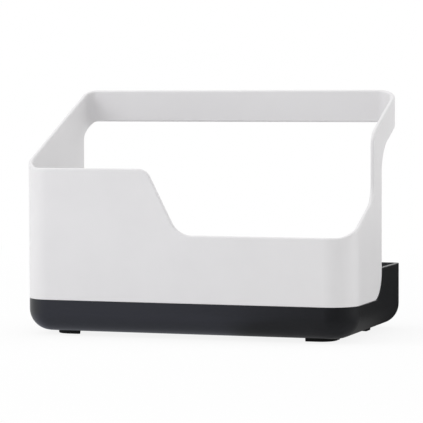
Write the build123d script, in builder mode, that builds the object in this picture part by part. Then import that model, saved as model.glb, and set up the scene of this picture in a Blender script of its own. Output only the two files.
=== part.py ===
from build123d import *
from math import cos, radians, sin, sqrt, tan
import os

# Kitchen sink caddy: an open moulded body with a cloth rail, in a drip tray on four rubber feet.
# The origin is on the surface that the caddy stands on, at the middle of its width and depth.
# +X is to the right as seen from the front, +Y to the rear and +Z up. Lengths are in millimetres.

# Overall
width = 220.0
depth = 116.0
front_corner_radius = 18.0
rear_left_radius = 8.0
rear_right_radius = 14.0
overrun = 5.0

# Upper body, with its heights taken from the joint line between body and tray
body_wall = 2.8
low_front_height = 42.7
high_front_height = 84.2
rail_height = 21.8
slope_angle = 23.7
slope_blend_radius = 5.0
right_angle = 90.0
rim_edge_radius = 1.2
joint_trim = 0.6

# Front opening: its slanted side starts at the low edge, this far left of the middle
slant_foot_offset = 3.4
slant_angle = 26.8
slant_top_radius = 9.0
slant_foot_radius = 15.0

# Post on the right wall, with its front and rear edges taken from the middle of the depth
post_front_offset = 5.5
post_rear_offset = 13.4
post_top_radius = 12.0
post_foot_radius = 15.0
window_radius = 22.0
corner_fill_share = 0.97
lower_corner_radius = 18.0

# Left wall, which ends in front of the rear, and the slanted corner that joins it to the rail
left_rear_inset = 12.0
brace_height = 9.6
brace_angle = 42.2
brace_turn = 53.4
brace_radius = 4.0

# Basket, the part of the body that hangs inside the tray
basket_wall = 1.8
basket_floor = 2.0
basket_bottom_radius = 8.0
basket_band_height = 6.0
band_chamfer = 1.0
fit_gap = 0.3
drip_gap = 6.0

# Drain slots in the basket's floor
slot_width = 4.0
slot_bridge = 10.0
slot_margin = 6.0
slot_columns = 12
slot_rows = 2

# Tray
tray_wall = 2.3
tray_rim_height = 20.7
splash_wall_height = 40.3
splash_corner_radius = 2.0
splash_foot_radius = 5.0
tray_bottom_radius = 14.0
tray_rear_radius = 2.5
tray_inner_rear_radius = 1.5
tray_edge_radius = 0.5
side_gap = 0.4

# Rubber feet
foot_stand = 2.3
foot_recess = 0.8
foot_leg = 18.0
foot_reach = 13.0
foot_outer_radius = 10.0
foot_tip_radius = 0.6
foot_inner_radius = 3.0
foot_edge_radius = 0.4
foot_end_inset = 14.8
front_foot_side_inset = 16.8
rear_foot_side_inset = 13.5
foot_fit = 0.15

# A face counts as upright when the share of its normal that points up or down is below this
upright_share = 0.01

# Heights from the ground
joint_z = foot_stand + tray_rim_height
low_front_z = joint_z + low_front_height
high_front_z = joint_z + high_front_height
splash_top_z = foot_stand + splash_wall_height
basket_bottom_z = foot_stand + tray_wall + drip_gap
basket_floor_z = basket_bottom_z + basket_floor
band_top_z = joint_z + basket_band_height

# The slopes start behind the front wall and end before the rear rail, one blend away from each
slope = tan(radians(slope_angle))
blend_length = slope_blend_radius * tan(radians(slope_angle / 2))
slope_start_y = -depth / 2 + body_wall + blend_length
slope_end_y = depth / 2 - body_wall - blend_length
rail_top_z = high_front_z + slope * (depth / 2 - slope_start_y)
rail_bottom_z = rail_top_z - rail_height
post_front_y = -post_front_offset
post_rear_y = post_rear_offset
left_rear_y = depth / 2 - left_rear_inset
post_foot_z = low_front_z + slope * (post_front_y - slope_start_y)
post_top_z = high_front_z + slope * (post_front_y - slope_start_y)
slant = tan(radians(slant_angle))
slant_foot_x = -slant_foot_offset
slant_top_x = slant_foot_x - slant * (high_front_height - low_front_height)

# Where the cuts end, outside the part
front_y = -depth / 2 - overrun
rear_y = depth / 2 + overrun
above_z = rail_top_z + overrun
side_reach = width / 2 + overrun


def plan(inset):
    """Outline of the upper body seen from above, moved inwards by inset."""
    with BuildSketch() as outline:
        Rectangle(width - 2 * inset, depth - 2 * inset)
        front_corners = outline.vertices().group_by(Axis.Y)[0]
        fillet(front_corners, front_corner_radius - inset)
        rear_left = outline.vertices().group_by(Axis.Y)[-1].sort_by(Axis.X)[0]
        fillet(rear_left, rear_left_radius - inset)
        rear_right = outline.vertices().group_by(Axis.Y)[-1].sort_by(Axis.X)[-1]
        fillet(rear_right, rear_right_radius - inset)
    return outline.sketch


def side_profile(points, rounded, plane=Plane.YZ):
    """Closed outline in the side view, from (y, z) points, with some of its corners rounded."""
    with BuildSketch(plane) as profile:
        with BuildLine():
            Polyline(*points, close=True)
        make_face()
        for corner, radius in rounded:
            fillet(profile.vertices().sort_by_distance(corner)[0], radius)
    return profile.sketch


def right_window():
    """Side view of the opening below the rail, back from the post."""
    upper_corner = (post_rear_y, rail_bottom_z - slope * (slope_end_y - post_rear_y))
    slope_end = (slope_end_y, rail_bottom_z)
    free_slope = (slope_end_y - post_rear_y) / cos(radians(slope_angle)) - blend_length
    largest_radius = free_slope / tan(radians(right_angle - slope_angle) / 2)
    upper_radius = min(window_radius, largest_radius * corner_fill_share)
    points = [
        upper_corner,
        slope_end,
        (rear_y, rail_bottom_z),
        (rear_y, joint_z - overrun),
        (post_rear_y, joint_z - overrun),
    ]
    return side_profile(points, [(upper_corner, upper_radius), (slope_end, slope_blend_radius)])


def rim_edges(piece):
    """Edges where a piece's upright walls meet its narrow rims, from the joint upwards."""
    upright = piece.faces().filter_by(lambda face: abs(face.normal_at().Z) < upright_share)
    ends = upright.filter_by(Axis.Y).filter_by(lambda face: face.bounding_box().size.X < 2 * body_wall)
    walls = upright - ends
    rims = (piece.faces() - walls).filter_by(
        lambda face: face.bounding_box().min.Z > joint_z - 2 * joint_trim
    )
    return rims.edges() & walls.edges()


def basket_block(inset, bottom_z, top_z, bottom_radius):
    """Basket's form moved inwards by inset, rounded along its bottom."""
    with BuildPart() as block:
        with BuildSketch(Plane.XY.offset(bottom_z)):
            add(plan(inset))
        extrude(amount=top_z - bottom_z)
        fillet(block.faces().sort_by(Axis.Z)[0].edges(), bottom_radius)
    return block.part


def tray_block(inset, top_z, rear_radius):
    """Tray's form moved inwards by inset, round along its bottom and nearly square at its rear."""
    bottom_z = foot_stand + inset
    with BuildPart() as block:
        with BuildSketch(Plane.XY.offset(bottom_z)) as outline:
            Rectangle(width - 2 * inset, depth - 2 * inset)
            fillet(outline.vertices().group_by(Axis.Y)[0], front_corner_radius - inset)
        extrude(amount=top_z - bottom_z)
        bottom = block.faces().sort_by(Axis.Z)[0]
        rear = block.faces().sort_by(Axis.Y)[-1]
        fillet(bottom.edges() - rear.edges(), tray_bottom_radius - inset)
        rear = block.faces().sort_by(Axis.Y)[-1]
        top = block.faces().sort_by(Axis.Z)[-1]
        fillet(rear.edges() - top.edges(), rear_radius)
    return block.part


def splash_cut(wall_end_y):
    """Side view of what is open above the tray's rim, with a gap round the wall's lower rear end."""
    radius = lower_corner_radius + side_gap
    center_y = wall_end_y - lower_corner_radius
    center_z = joint_z - joint_trim + lower_corner_radius
    foot_y = center_y + sqrt(radius ** 2 - (center_z - joint_z) ** 2)
    edge_y = center_y + radius
    with BuildSketch(Plane.YZ) as profile:
        with BuildLine():
            Polyline((foot_y, joint_z), (front_y, joint_z), (front_y, above_z), (edge_y, above_z))
            Line((edge_y, above_z), (edge_y, center_z))
            TangentArc((edge_y, center_z), (foot_y, joint_z), tangent=(0, -1))
        make_face()
        fillet(profile.vertices().sort_by_distance((foot_y, joint_z))[0], splash_foot_radius)
    return profile.sketch


def foot_outline(place, growth):
    """Outline of a foot with its outer corner at place, grown by growth, its other end inwards."""
    across = -foot_leg if place[0] > 0 else foot_leg
    along = -foot_leg if place[1] > 0 else foot_leg
    reach_share = foot_reach / foot_leg
    tips = [(place[0] + across, place[1]), (place[0], place[1] + along)]
    inner = (place[0] + across * reach_share, place[1] + along * reach_share)
    with BuildSketch() as outline:
        with BuildLine():
            Polyline(place, tips[0], inner, tips[1], close=True)
        make_face()
        fillet(outline.vertices().sort_by_distance(place)[0], foot_outer_radius)
        fillet(outline.vertices().sort_by_distance(inner)[0], foot_inner_radius)
        for tip in tips:
            fillet(outline.vertices().sort_by_distance(tip)[0], foot_tip_radius)
        if growth > 0:
            offset(amount=growth)
    return outline.sketch


# Basket's outside and inside
wall_inset = tray_wall + fit_gap
basket_outside = basket_block(wall_inset, basket_bottom_z, band_top_z, basket_bottom_radius)
inside_inset = wall_inset + basket_wall
basket_inside = basket_block(
    inside_inset, basket_floor_z, band_top_z + overrun, basket_bottom_radius - basket_wall
)

# Drain slots fill the flat part of the basket's floor
slot_inset = wall_inset + basket_bottom_radius + slot_margin
slot_length = (depth - 2 * slot_inset - (slot_rows - 1) * slot_bridge) / slot_rows
slot_pitch = (width - 2 * slot_inset - slot_width) / (slot_columns - 1)

# Tray's outside and inside
tray_outside = tray_block(0, splash_top_z, tray_rear_radius)
tray_inside = tray_block(tray_wall, splash_top_z + overrun, tray_inner_rear_radius)

# Each foot's outer corner
front_foot_x = width / 2 - front_foot_side_inset
rear_foot_x = width / 2 - rear_foot_side_inset
foot_y = depth / 2 - foot_end_inset
foot_places = {
    "foot_front_left": (-front_foot_x, -foot_y),
    "foot_front_right": (front_foot_x, -foot_y),
    "foot_rear_left": (-rear_foot_x, foot_y),
    "foot_rear_right": (rear_foot_x, foot_y),
}

os.makedirs("parts", exist_ok=True)

# Opening behind the left wall, with a slanted upper corner that rises to the right and the rear
with BuildPart() as left_window:
    with BuildSketch(Plane.YZ):
        with BuildLine():
            Polyline(
                (left_rear_y, joint_z - overrun),
                (left_rear_y, rail_bottom_z),
                (rear_y, rail_bottom_z),
                (rear_y, joint_z - overrun),
                close=True,
            )
        make_face()
    extrude(amount=side_reach, dir=(-1, 0, 0))
    brace_foot = (-width / 2 + body_wall, left_rear_y, rail_bottom_z - brace_height)
    steepness = radians(brace_angle)
    turn = radians(brace_turn)
    brace_normal = (-sin(steepness) * cos(turn), -sin(steepness) * sin(turn), cos(steepness))
    split(bisect_by=Plane(origin=brace_foot, z_dir=brace_normal), keep=Keep.BOTTOM)
    front_face = left_window.faces().sort_by(Axis.Y)[0]
    top_face = left_window.faces().sort_by(Axis.Z)[-1]
    slanted = left_window.faces() - left_window.faces().filter_by(Axis.X)
    slanted = slanted - left_window.faces().filter_by(Axis.Y) - left_window.faces().filter_by(Axis.Z)
    fillet(slanted.edges() & (front_face.edges() + top_face.edges()), brace_radius)

# Upper body
with BuildPart() as upper_body:
    # Wall all round, a little longer than it will be at the joint
    with BuildSketch(Plane.XY.offset(joint_z - joint_trim)):
        add(plan(0))
        add(plan(body_wall), mode=Mode.SUBTRACT)
    extrude(amount=above_z - joint_z)

    # Sloping rim, level along the front
    rim_start = (slope_start_y, high_front_z)
    rim_points = [
        (front_y, high_front_z),
        rim_start,
        (rear_y, rail_top_z + slope * overrun),
        (rear_y, above_z + overrun),
        (front_y, above_z + overrun),
    ]
    rim_cut = side_profile(rim_points, [(rim_start, slope_blend_radius)])
    extrude(rim_cut, side_reach, both=True, mode=Mode.SUBTRACT)

    # Front opening, round the corner and up to the post
    low_start = (slope_start_y, low_front_z)
    post_foot = (post_front_y, post_foot_z)
    opening_points = [
        (front_y, low_front_z),
        low_start,
        post_foot,
        (post_front_y, above_z),
        (front_y, above_z),
    ]
    opening_corners = [(low_start, slope_blend_radius), (post_foot, post_foot_radius)]
    opening = side_profile(opening_points, opening_corners, Plane.YZ.offset(slant_foot_radius))
    extrude(opening, side_reach - slant_foot_radius, mode=Mode.SUBTRACT)

    # Its slanted left side, through the front wall alone
    with BuildSketch(Plane.XZ.offset(-front_y)) as slanted_side:
        with BuildLine():
            Polyline(
                (slant_foot_x, low_front_z),
                (slant_foot_x - slant * (above_z - low_front_z), above_z),
                (2 * slant_foot_radius, above_z),
                (2 * slant_foot_radius, low_front_z),
                close=True,
            )
        make_face()
        slant_foot = slanted_side.vertices().sort_by_distance((slant_foot_x, low_front_z))[0]
        fillet(slant_foot, slant_foot_radius)
    extrude(amount=-(2 * body_wall + overrun), mode=Mode.SUBTRACT)

    # Window below the rail: it reaches forward to the post on the right, and less far on the left
    extrude(right_window(), side_reach, dir=(1, 0, 0), mode=Mode.SUBTRACT)
    add(left_window, mode=Mode.SUBTRACT)

    # Rounded corners of the rim and of the walls' lower rear ends
    wall_middle_x = width / 2 - body_wall / 2
    wall_middle_y = -depth / 2 + body_wall / 2
    wall_bottom_z = joint_z - joint_trim
    corners = [
        ((wall_middle_x, post_front_y, post_top_z), post_top_radius),
        ((slant_top_x, wall_middle_y, high_front_z), slant_top_radius),
        ((wall_middle_x, post_rear_y, wall_bottom_z), lower_corner_radius),
        ((-wall_middle_x, left_rear_y, wall_bottom_z), lower_corner_radius),
    ]
    for place, radius in corners:
        fillet(upper_body.edges().sort_by_distance(place)[0], radius)

    # Soft rims, then a flat cut where the wall stands on the tray
    fillet(rim_edges(upper_body), rim_edge_radius)
    split(bisect_by=Plane.XY.offset(joint_z), keep=Keep.TOP)

    # Basket that hangs inside the tray and stiffens the wall's foot, with a chamfered mouth
    add(basket_outside)
    add(basket_inside, mode=Mode.SUBTRACT)
    band_top = upper_body.faces().filter_by(Axis.Z).filter_by_position(
        Axis.Z, band_top_z - band_chamfer, band_top_z + band_chamfer
    )[0]
    chamfer(band_top.inner_wires()[0].edges(), band_chamfer)

    # Drain slots through its floor
    with BuildSketch(Plane.XY.offset(basket_bottom_z - overrun)):
        with GridLocations(slot_pitch, slot_length + slot_bridge, slot_columns, slot_rows):
            SlotOverall(slot_length, slot_width, rotation=right_angle)
    extrude(amount=overrun + basket_floor + overrun, mode=Mode.SUBTRACT)

# Drip tray, with its splash wall where the upper body is open
with BuildPart() as drip_tray:
    add(tray_outside)
    add(tray_inside, mode=Mode.SUBTRACT)
    extrude(splash_cut(post_rear_y), side_reach, dir=(1, 0, 0), mode=Mode.SUBTRACT)
    extrude(splash_cut(left_rear_y), side_reach, dir=(-1, 0, 0), mode=Mode.SUBTRACT)

    # Rounded upper ends of the splash wall, then soft rims
    for side, edge_y in ((1, post_rear_y + side_gap), (-1, left_rear_y + side_gap)):
        end_place = (side * (width / 2 - tray_wall / 2), edge_y, splash_top_z)
        fillet(drip_tray.edges().sort_by_distance(end_place)[0], splash_corner_radius)
    fillet(rim_edges(drip_tray), tray_edge_radius)

    # Recesses for the feet
    for place in foot_places.values():
        with BuildSketch(Plane.XY.offset(foot_stand + foot_recess)):
            add(foot_outline(place, foot_fit))
        extrude(amount=-(foot_recess + overrun), mode=Mode.SUBTRACT)

for piece, name in ((upper_body, "upper_body"), (drip_tray, "drip_tray")):
    piece.part.label = name
    export_step(piece.part, f"parts/{name}.step")

# Rubber feet, each with its rounded outer corner towards the caddy's own corner
for name, place in foot_places.items():
    with BuildPart() as foot:
        with BuildSketch():
            add(foot_outline(place, 0))
        extrude(amount=foot_stand + foot_recess)
        fillet(foot.faces().sort_by(Axis.Z)[0].edges(), foot_edge_radius)
    foot.part.label = name
    export_step(foot.part, f"parts/{name}.step")
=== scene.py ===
import math

import bpy
from mathutils import Matrix, Vector


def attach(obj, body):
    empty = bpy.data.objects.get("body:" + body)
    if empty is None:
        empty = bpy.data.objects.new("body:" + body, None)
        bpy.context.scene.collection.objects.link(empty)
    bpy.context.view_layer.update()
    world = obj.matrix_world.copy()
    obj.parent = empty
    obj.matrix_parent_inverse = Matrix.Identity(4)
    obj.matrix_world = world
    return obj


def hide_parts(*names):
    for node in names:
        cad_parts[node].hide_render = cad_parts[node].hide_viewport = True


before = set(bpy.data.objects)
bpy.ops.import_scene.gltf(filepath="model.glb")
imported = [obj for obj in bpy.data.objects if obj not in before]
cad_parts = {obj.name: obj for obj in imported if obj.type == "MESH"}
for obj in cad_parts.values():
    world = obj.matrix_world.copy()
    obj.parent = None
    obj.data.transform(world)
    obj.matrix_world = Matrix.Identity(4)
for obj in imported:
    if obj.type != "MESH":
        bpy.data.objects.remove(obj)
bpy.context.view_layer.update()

mm = 0.001  # metres


def hexColor(code):
    # sRGB hex to linear RGBA
    channels = [int(code[i:i + 2], 16) / 255 for i in (1, 3, 5)]
    linear = [c / 12.92 if c <= 0.04045 else ((c + 0.055) / 1.055) ** 2.4 for c in channels]
    return (*linear, 1.0)


def addNode(tree, kind, inputs=None, **settings):
    # One node: its settings, then its inputs as values or as sockets to link from
    node = tree.nodes.new(kind)
    for name, value in settings.items():
        setattr(node, name, value)
    for name, value in (inputs or {}).items():
        if isinstance(value, bpy.types.NodeSocket):
            tree.links.new(value, node.inputs[name])
        else:
            node.inputs[name].default_value = value
    return node


def newMaterial(name):
    material = bpy.data.materials.new(name)
    material.use_nodes = True
    material.node_tree.nodes.clear()
    return material, material.node_tree


# Camera, fitted to the photograph's edges
photoCamera = {
    "place": (0.50575, -1.47690, 0.16486),
    "azimuth": math.radians(18.921),
    "pitch": math.radians(3.198),
    "roll": math.radians(-0.22),
    "focalPixels": 2414.11,
    "photoWidth": 423,
    "sensor": 36.0,
    "seesFrom": 0.05,
    "seesTo": 50.0,
}


def addCamera(spec):
    data = bpy.data.cameras.new("photoCamera")
    data.sensor_fit = "HORIZONTAL"
    data.sensor_width = spec["sensor"]
    data.lens = spec["focalPixels"] * spec["sensor"] / spec["photoWidth"]
    data.clip_start = spec["seesFrom"]
    data.clip_end = spec["seesTo"]
    camera = bpy.data.objects.new("photoCamera", data)
    turn = (
        Matrix.Rotation(spec["azimuth"], 4, "Z")
        @ Matrix.Rotation(math.pi / 2 - spec["pitch"], 4, "X")
        @ Matrix.Rotation(spec["roll"], 4, "Z")
    )
    camera.matrix_world = Matrix.Translation(spec["place"]) @ turn
    bpy.context.scene.collection.objects.link(camera)
    bpy.context.scene.camera = camera


addCamera(photoCamera)
print("camera set")

# Studio: pale floor, white surroundings, soft boxes, and cards that only reflections see
studio = {
    "floorHalf": 6.0,
    "floorColor": "#F4F4F4",
    "whiteShareNear": 0.87,  # of the floor next to the object, which grows to 1 from fadeStart to fadeEnd
    "fadeStart": 0.25,
    "fadeEnd": 0.80,
    "ambient": 0.70,
    "cardLift": 0.0004,  # over the floor
    "cards": [
        # name, height, then a row for each joint: where it starts under the tray, where it turns upwards,
        # the share of that way on which the near color turns to the far one, and the two colors
        ("frontCard", 0.60, [
            ((-0.080, 0.020), (-0.330, 0.130), 0.18, "#9C9E9E", "#E4E6E6"),
            ((-0.085, -0.010), (-0.360, -0.080), 0.18, "#9C9E9E", "#E4E6E6"),
            ((-0.080, -0.030), (-0.260, -0.260), 0.18, "#9C9E9E", "#CED1E6"),
            ((0.030, -0.030), (-0.066, -0.300), 0.18, "#9C9E9E", "#CED1E6"),
            ((0.078, -0.030), (-0.009, -0.300), 0.25, "#929294", "#76767B"),
            ((0.088, -0.030), (0.030, -0.305), 0.30, "#8C8C8E", "#77777B"),
            ((0.089, -0.029), (0.085, -0.310), 0.30, "#8C8C8E", "#404042"),
            ((0.089, -0.028), (0.230, -0.255), 0.30, "#8C8C8E", "#303032"),
            ((0.090, -0.026), (0.310, -0.170), 0.28, "#868686", "#4E4E4E"),
            ((0.090, -0.020), (0.350, -0.060), 0.20, "#747474", "#6A6A6A"),
            ((0.092, 0.000), (0.350, 0.050), 0.10, "#626262", "#767676"),
            ((0.093, 0.015), (0.310, 0.150), 0.07, "#585858", "#5E5E5E"),
            ((0.094, 0.030), (0.250, 0.215), 0.08, "#646464", "#444444"),
            ((0.095, 0.045), (0.185, 0.260), 0.08, "#646464", "#404040"),
        ]),
        ("rearCard", 0.05, [
            ((0.095, 0.045), (0.185, 0.260), 0.10, "#222222", "#222222"),
            ((0.000, 0.045), (0.000, 0.320), 0.10, "#222222", "#222222"),
            ((-0.080, 0.028), (-0.240, 0.260), 0.10, "#222222", "#222222"),
        ]),
    ],
    "boxes": [
        # name, place, aims at, width, height, watts
        ("topBox", (-0.2, 0.1, 1.5), (0, 0, 0.05), 1.6, 1.2, 4.4),
        ("leftBox", (-1.3, -0.72, 1.1), (0, 0, 0.06), 1.0, 1.0, 9.4),
        ("frontBox", (1.35, -1.35, 0.6), (0, 0, 0.06), 0.7, 1.0, 0.6),
        ("rightBox", (1.55, 0.65, 0.6), (0, 0, 0.06), 0.8, 0.8, 4.8),
    ],
}


def seenAsWhite(tree):
    # 1 for the camera, reflections and views through clear things, 0 for the light on the object
    path = addNode(tree, "ShaderNodeLightPath")
    seen = addNode(tree, "ShaderNodeMath", {
        0: path.outputs["Is Camera Ray"], 1: path.outputs["Is Glossy Ray"]}, operation="MAXIMUM")
    return addNode(tree, "ShaderNodeMath", {
        0: seen.outputs[0], 1: path.outputs["Is Transmission Ray"]}, operation="MAXIMUM").outputs[0]


def addFloor(spec):
    half = spec["floorHalf"]
    mesh = bpy.data.meshes.new("paperFloor")
    corners = [(-half, -half, 0), (half, -half, 0), (half, half, 0), (-half, half, 0)]
    mesh.from_pydata(corners, [], [(0, 1, 2, 3)])
    floor = bpy.data.objects.new("paperFloor", mesh)
    bpy.context.scene.collection.objects.link(floor)
    material, tree = newMaterial("paperFloor")
    lit = addNode(tree, "ShaderNodeBsdfDiffuse", {"Color": hexColor(spec["floorColor"])})
    white = addNode(tree, "ShaderNodeEmission", {"Color": (1, 1, 1, 1), "Strength": 1.0})
    # Near the object the floor keeps its shadow, and further out it turns plain white
    place = addNode(tree, "ShaderNodeTexCoord").outputs["Object"]
    distance = addNode(tree, "ShaderNodeVectorMath", {0: place}, operation="LENGTH").outputs["Value"]
    share = addNode(tree, "ShaderNodeMapRange", {
        "Value": distance, "From Min": spec["fadeStart"], "From Max": spec["fadeEnd"],
        "To Min": spec["whiteShareNear"], "To Max": 1.0}, interpolation_type="SMOOTHSTEP").outputs[0]
    part = addNode(tree, "ShaderNodeMath", {0: seenAsWhite(tree), 1: share}, operation="MULTIPLY")
    mixed = addNode(tree, "ShaderNodeMixShader", {0: part.outputs[0], 1: lit.outputs[0], 2: white.outputs[0]})
    addNode(tree, "ShaderNodeOutputMaterial", {"Surface": mixed.outputs[0]})
    mesh.materials.append(material)


def addWorld(spec):
    world = bpy.data.worlds.new("studioWorld")
    bpy.context.scene.world = world
    world.use_nodes = True
    tree = world.node_tree
    tree.nodes.clear()
    ambient = addNode(tree, "ShaderNodeBackground", {"Color": (1, 1, 1, 1), "Strength": spec["ambient"]})
    white = addNode(tree, "ShaderNodeBackground", {"Color": (1, 1, 1, 1), "Strength": 1.0})
    mixed = addNode(tree, "ShaderNodeMixShader", {
        0: seenAsWhite(tree), 1: ambient.outputs[0], 2: white.outputs[0]})
    addNode(tree, "ShaderNodeOutputWorld", {"Surface": mixed.outputs[0]})


def addCards(spec):
    # Curved cards round the object, on the floor and standing, that shade dark plastic from light to dark
    material, tree = newMaterial("reflectionCard")
    tone = addNode(tree, "ShaderNodeAttribute", attribute_name="cardTone").outputs["Color"]
    glow = addNode(tree, "ShaderNodeEmission", {"Color": tone, "Strength": 1.0})
    addNode(tree, "ShaderNodeOutputMaterial", {"Surface": glow.outputs[0]})
    lift = spec["cardLift"]
    for name, height, joints in spec["cards"]:
        points = []
        colors = []
        for near, far, share, nearColor, farColor in joints:
            between = [a + (b - a) * share for a, b in zip(near, far)]
            points += [(*near, lift), (*between, lift), (*far, lift), (*far, height)]
            colors += [hexColor(nearColor)] + [hexColor(farColor)] * 3
        rowLength = len(points) // len(joints)
        faces = []
        for row in range(len(joints) - 1):
            for step in range(rowLength - 1):
                corner = rowLength * row + step
                faces.append((corner, corner + rowLength, corner + rowLength + 1, corner + 1))
        mesh = bpy.data.meshes.new(name)
        mesh.from_pydata(points, [], faces)
        attribute = mesh.color_attributes.new("cardTone", "FLOAT_COLOR", "POINT")
        for i, color in enumerate(colors):
            attribute.data[i].color = color
        mesh.materials.append(material)
        card = bpy.data.objects.new(name, mesh)
        card.visible_camera = False
        card.visible_diffuse = False
        card.visible_transmission = False
        card.visible_shadow = False
        bpy.context.scene.collection.objects.link(card)


def addBoxes(spec):
    for name, place, aim, width, height, watts in spec["boxes"]:
        data = bpy.data.lights.new(name, "AREA")
        data.shape = "RECTANGLE"
        data.size = width
        data.size_y = height
        data.energy = watts
        lamp = bpy.data.objects.new(name, data)
        lamp.location = place
        lamp.rotation_euler = (Vector(aim) - Vector(place)).to_track_quat("-Z", "Y").to_euler()
        bpy.context.scene.collection.objects.link(lamp)


addFloor(studio)
addWorld(studio)
addCards(studio)
addBoxes(studio)
bpy.context.scene.view_settings.view_transform = "Standard"
print("studio set")

# White ABS, injection moulded in a finely spark-eroded tool: satin, with a soft grain and barely uneven tone.
# Sizes of patterns in millimetres. The real grain is near 0.1 mm, and it is drawn coarser so that it shows
whitePlastic = {
    "color": "#E8E7E8",
    "shade": "#E2E1E2",
    "toneSize": 28.0,
    "grainSize": 0.7,
    "grainHeight": 0.012,
    "roughness": 0.42,
    "roughnessSpread": 0.06,
    "ior": 1.5,
    "specular": 0.5,
}

# Charcoal polypropylene, moulded with a slightly coarser grain, so its highlights are broad and dull
darkPlastic = {
    "color": "#202124",
    "shade": "#1C1D20",
    "toneSize": 22.0,
    "grainSize": 0.8,
    "grainHeight": 0.02,
    "roughness": 0.34,
    "roughnessSpread": 0.08,
    "ior": 1.49,
    "specular": 0.5,
}

# Black rubber, pressed and matt, with a dusty bloom
footRubber = {
    "color": "#1D1D1E",
    "shade": "#262626",
    "toneSize": 3.0,
    "grainSize": 0.5,
    "grainHeight": 0.02,
    "roughness": 0.78,
    "roughnessSpread": 0.1,
    "ior": 1.52,
    "specular": 0.3,
}

# What the three materials have in common: how fine their noise gets, and the part of its range in use
noise = {
    "toneDetail": 3.0,
    "toneRoughness": 0.5,
    "grainDetail": 2.0,
    "grainRoughness": 0.6,
    "low": 0.3,
    "high": 0.7,
}


def mouldedMaterial(name, spec):
    material, tree = newMaterial(name)
    place = addNode(tree, "ShaderNodeTexCoord").outputs["Object"]
    tone = addNode(tree, "ShaderNodeTexNoise", {
        "Vector": place, "Scale": 1 / (spec["toneSize"] * mm),
        "Detail": noise["toneDetail"], "Roughness": noise["toneRoughness"]})
    grain = addNode(tree, "ShaderNodeTexNoise", {
        "Vector": place, "Scale": 1 / (spec["grainSize"] * mm),
        "Detail": noise["grainDetail"], "Roughness": noise["grainRoughness"]})
    color = addNode(tree, "ShaderNodeMix", {
        0: tone.outputs["Fac"], 6: hexColor(spec["color"]), 7: hexColor(spec["shade"])}, data_type="RGBA")
    rough = addNode(tree, "ShaderNodeMapRange", {
        "Value": grain.outputs["Fac"], "From Min": noise["low"], "From Max": noise["high"],
        "To Min": spec["roughness"] - spec["roughnessSpread"] / 2,
        "To Max": spec["roughness"] + spec["roughnessSpread"] / 2})
    bump = addNode(tree, "ShaderNodeBump", {
        "Height": grain.outputs["Fac"], "Distance": spec["grainHeight"] * mm, "Strength": 1.0})
    surface = addNode(tree, "ShaderNodeBsdfPrincipled", {
        "Base Color": color.outputs[2], "Roughness": rough.outputs[0], "Normal": bump.outputs[0],
        "IOR": spec["ior"], "Specular IOR Level": spec["specular"]})
    addNode(tree, "ShaderNodeOutputMaterial", {"Surface": surface.outputs[0]})
    return material


def dress(node, material):
    # A carried-over CAD node keeps its mesh and gets a better material
    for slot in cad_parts[node].material_slots:
        slot.material = material


whiteAbs = mouldedMaterial("whiteMouldedAbs", whitePlastic)
charcoalPp = mouldedMaterial("charcoalMouldedPolypropylene", darkPlastic)
blackRubber = mouldedMaterial("blackPressedRubber", footRubber)
dress("upper_body", whiteAbs)
dress("drip_tray", charcoalPp)
print("materials set")

# Rubber feet, one at each corner, each with its rounded corner outwards. Lengths in millimetres
rubberFeet = {
    "nodes": ("foot_front_left", "foot_front_right", "foot_rear_left", "foot_rear_right"),
    "sizes": {
        "Leg": 18.0,  # from the outer corner to each of the two tips
        "Reach": 13.0,  # from the outer corner to the inner one, along both sides
        "Outer Radius": 10.0,
        "Inner Radius": 3.0,
        "Tip Radius": 0.6,
        "Edge Radius": 0.4,
        "Height": 3.1,
        "Front Spacing": 186.4,  # between the outer corners of the two front feet
        "Rear Spacing": 193.0,
        "Depth Spacing": 86.4,
    },
    "cornerSteps": 12,  # along each rounded corner
    "edgeSteps": 5,  # across the rounding at the ground
    "smoothBelow": math.radians(20),  # edges that bend less are shaded smooth
}


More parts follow.
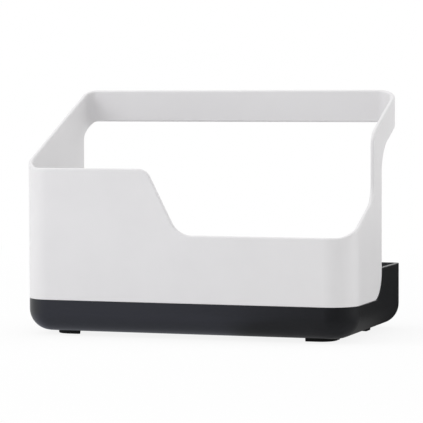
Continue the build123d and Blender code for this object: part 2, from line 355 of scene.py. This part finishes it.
def feetTree(spec):
    tree = bpy.data.node_groups.new("rubberFeet", "GeometryNodeTree")
    for name in spec["sizes"]:
        tree.interface.new_socket(name=name, in_out="INPUT", socket_type="NodeSocketFloat")
    tree.interface.new_socket(name="Material", in_out="INPUT", socket_type="NodeSocketMaterial")
    tree.interface.new_socket(name="Geometry", in_out="OUTPUT", socket_type="NodeSocketGeometry")
    size = addNode(tree, "NodeGroupInput").outputs

    def calculated(operation, first, second):
        return addNode(tree, "ShaderNodeMath", {0: first, 1: second}, operation=operation).outputs[0]

    # Outline: a kite with its outer corner at the origin, that points along +Y
    toTips = calculated("MULTIPLY", size["Leg"], math.sqrt(0.5))
    toInner = calculated("MULTIPLY", size["Reach"], math.sqrt(2))
    kite = addNode(tree, "GeometryNodeCurvePrimitiveQuadrilateral", {
        "Width": calculated("MULTIPLY", size["Leg"], math.sqrt(2)), "Bottom Height": toTips,
        "Top Height": calculated("SUBTRACT", toInner, toTips)}, mode="KITE")
    index = addNode(tree, "GeometryNodeInputIndex").outputs[0]
    radius = addNode(tree, "GeometryNodeIndexSwitch", data_type="FLOAT")
    tree.links.new(index, radius.inputs["Index"])
    cornerRadii = ("Outer Radius", "Tip Radius", "Inner Radius", "Tip Radius")
    while len(radius.index_switch_items) < len(cornerRadii):
        radius.index_switch_items.new()
    for i, name in enumerate(cornerRadii):
        tree.links.new(size[name], radius.inputs[str(i)])
    rounded = addNode(tree, "GeometryNodeFilletCurve", {
        "Curve": kite.outputs[0], "Count": spec["cornerSteps"], "Radius": radius.outputs[0]}, mode="POLY")
    shift = addNode(tree, "ShaderNodeCombineXYZ", {"Y": toTips}).outputs[0]
    outline = addNode(tree, "GeometryNodeTransform", {"Geometry": rounded.outputs[0], "Translation": shift})
    upright = addNode(tree, "GeometryNodeSetCurveNormal", {"Curve": outline.outputs[0]}, mode="Z_UP")

    # Side: a small rounding at the ground, swept round the outline, and the outline again at the top
    arc = addNode(tree, "GeometryNodeCurveArc", {
        "Resolution": spec["edgeSteps"], "Radius": size["Edge Radius"], "Start Angle": 0.0,
        "Sweep Angle": math.pi / 2}, mode="RADIUS")
    inwards = calculated("MULTIPLY", size["Edge Radius"], -1.0)
    inset = addNode(tree, "ShaderNodeCombineXYZ", {"X": inwards, "Y": inwards}).outputs[0]
    edge = addNode(tree, "GeometryNodeTransform", {"Geometry": arc.outputs[0], "Translation": inset})
    side = addNode(tree, "GeometryNodeCurveToMesh", {
        "Curve": upright.outputs[0], "Profile Curve": edge.outputs[0]})
    raised = addNode(tree, "ShaderNodeCombineXYZ", {"Z": size["Height"]}).outputs[0]
    top = addNode(tree, "GeometryNodeTransform", {
        "Geometry": addNode(tree, "GeometryNodeCurveToMesh", {"Curve": upright.outputs[0]}).outputs[0],
        "Translation": raised})
    both = addNode(tree, "GeometryNodeJoinGeometry")
    tree.links.new(side.outputs[0], both.inputs[0])
    tree.links.new(top.outputs[0], both.inputs[0])
    foot = addNode(tree, "GeometryNodeConvexHull", {"Geometry": both.outputs[0]})
    angle = addNode(tree, "GeometryNodeInputMeshEdgeAngle").outputs["Unsigned Angle"]
    soft = addNode(tree, "FunctionNodeCompare", {
        "A": angle, "B": spec["smoothBelow"]}, data_type="FLOAT", operation="LESS_THAN").outputs[0]
    softened = addNode(tree, "GeometryNodeSetShadeSmooth", {"Geometry": foot.outputs[0]}, domain="FACE")
    smooth = addNode(tree, "GeometryNodeSetShadeSmooth", {
        "Geometry": softened.outputs[0], "Shade Smooth": soft}, domain="EDGE")

    # Places: the corners of a trapezoid, from the rear right one round to the left
    corners = addNode(tree, "GeometryNodeCurvePrimitiveQuadrilateral", {
        "Height": size["Depth Spacing"], "Bottom Width": size["Front Spacing"],
        "Top Width": size["Rear Spacing"], "Offset": 0.0}, mode="TRAPEZOID")
    turn = calculated("MULTIPLY_ADD", index, math.pi / 2)
    turn.node.inputs[2].default_value = 3 * math.pi / 4
    facing = addNode(tree, "FunctionNodeEulerToRotation", {
        0: addNode(tree, "ShaderNodeCombineXYZ", {"Z": turn}).outputs[0]})
    placed = addNode(tree, "GeometryNodeInstanceOnPoints", {
        "Points": corners.outputs[0], "Instance": smooth.outputs[0], "Rotation": facing.outputs[0]})
    real = addNode(tree, "GeometryNodeRealizeInstances", {"Geometry": placed.outputs[0]})
    dressed = addNode(tree, "GeometryNodeSetMaterial", {
        "Geometry": real.outputs[0], "Material": size["Material"]})
    addNode(tree, "NodeGroupOutput", {"Geometry": dressed.outputs[0]})
    return tree


def addFeet(spec, material):
    tree = feetTree(spec)
    feet = bpy.data.objects.new("rubberFeet", bpy.data.meshes.new("rubberFeetStart"))
    bpy.context.scene.collection.objects.link(feet)
    grower = feet.modifiers.new("rubberFeet", "NODES")
    grower.node_group = tree
    for socket in tree.interface.items_tree:
        if socket.in_out == "INPUT":
            isSize = socket.name in spec["sizes"]
            grower[socket.identifier] = spec["sizes"][socket.name] * mm if isSize else material
    evaluated = feet.evaluated_get(bpy.context.evaluated_depsgraph_get())
    feet.data = bpy.data.meshes.new_from_object(evaluated)
    feet.data.name = "rubberFeet"
    feet.data.materials.pop(index=0)  # the empty slot of the start mesh
    feet.modifiers.remove(grower)
    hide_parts(*spec["nodes"])
    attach(feet, "tray")


addFeet(rubberFeet, blackRubber)
print("feet grown")
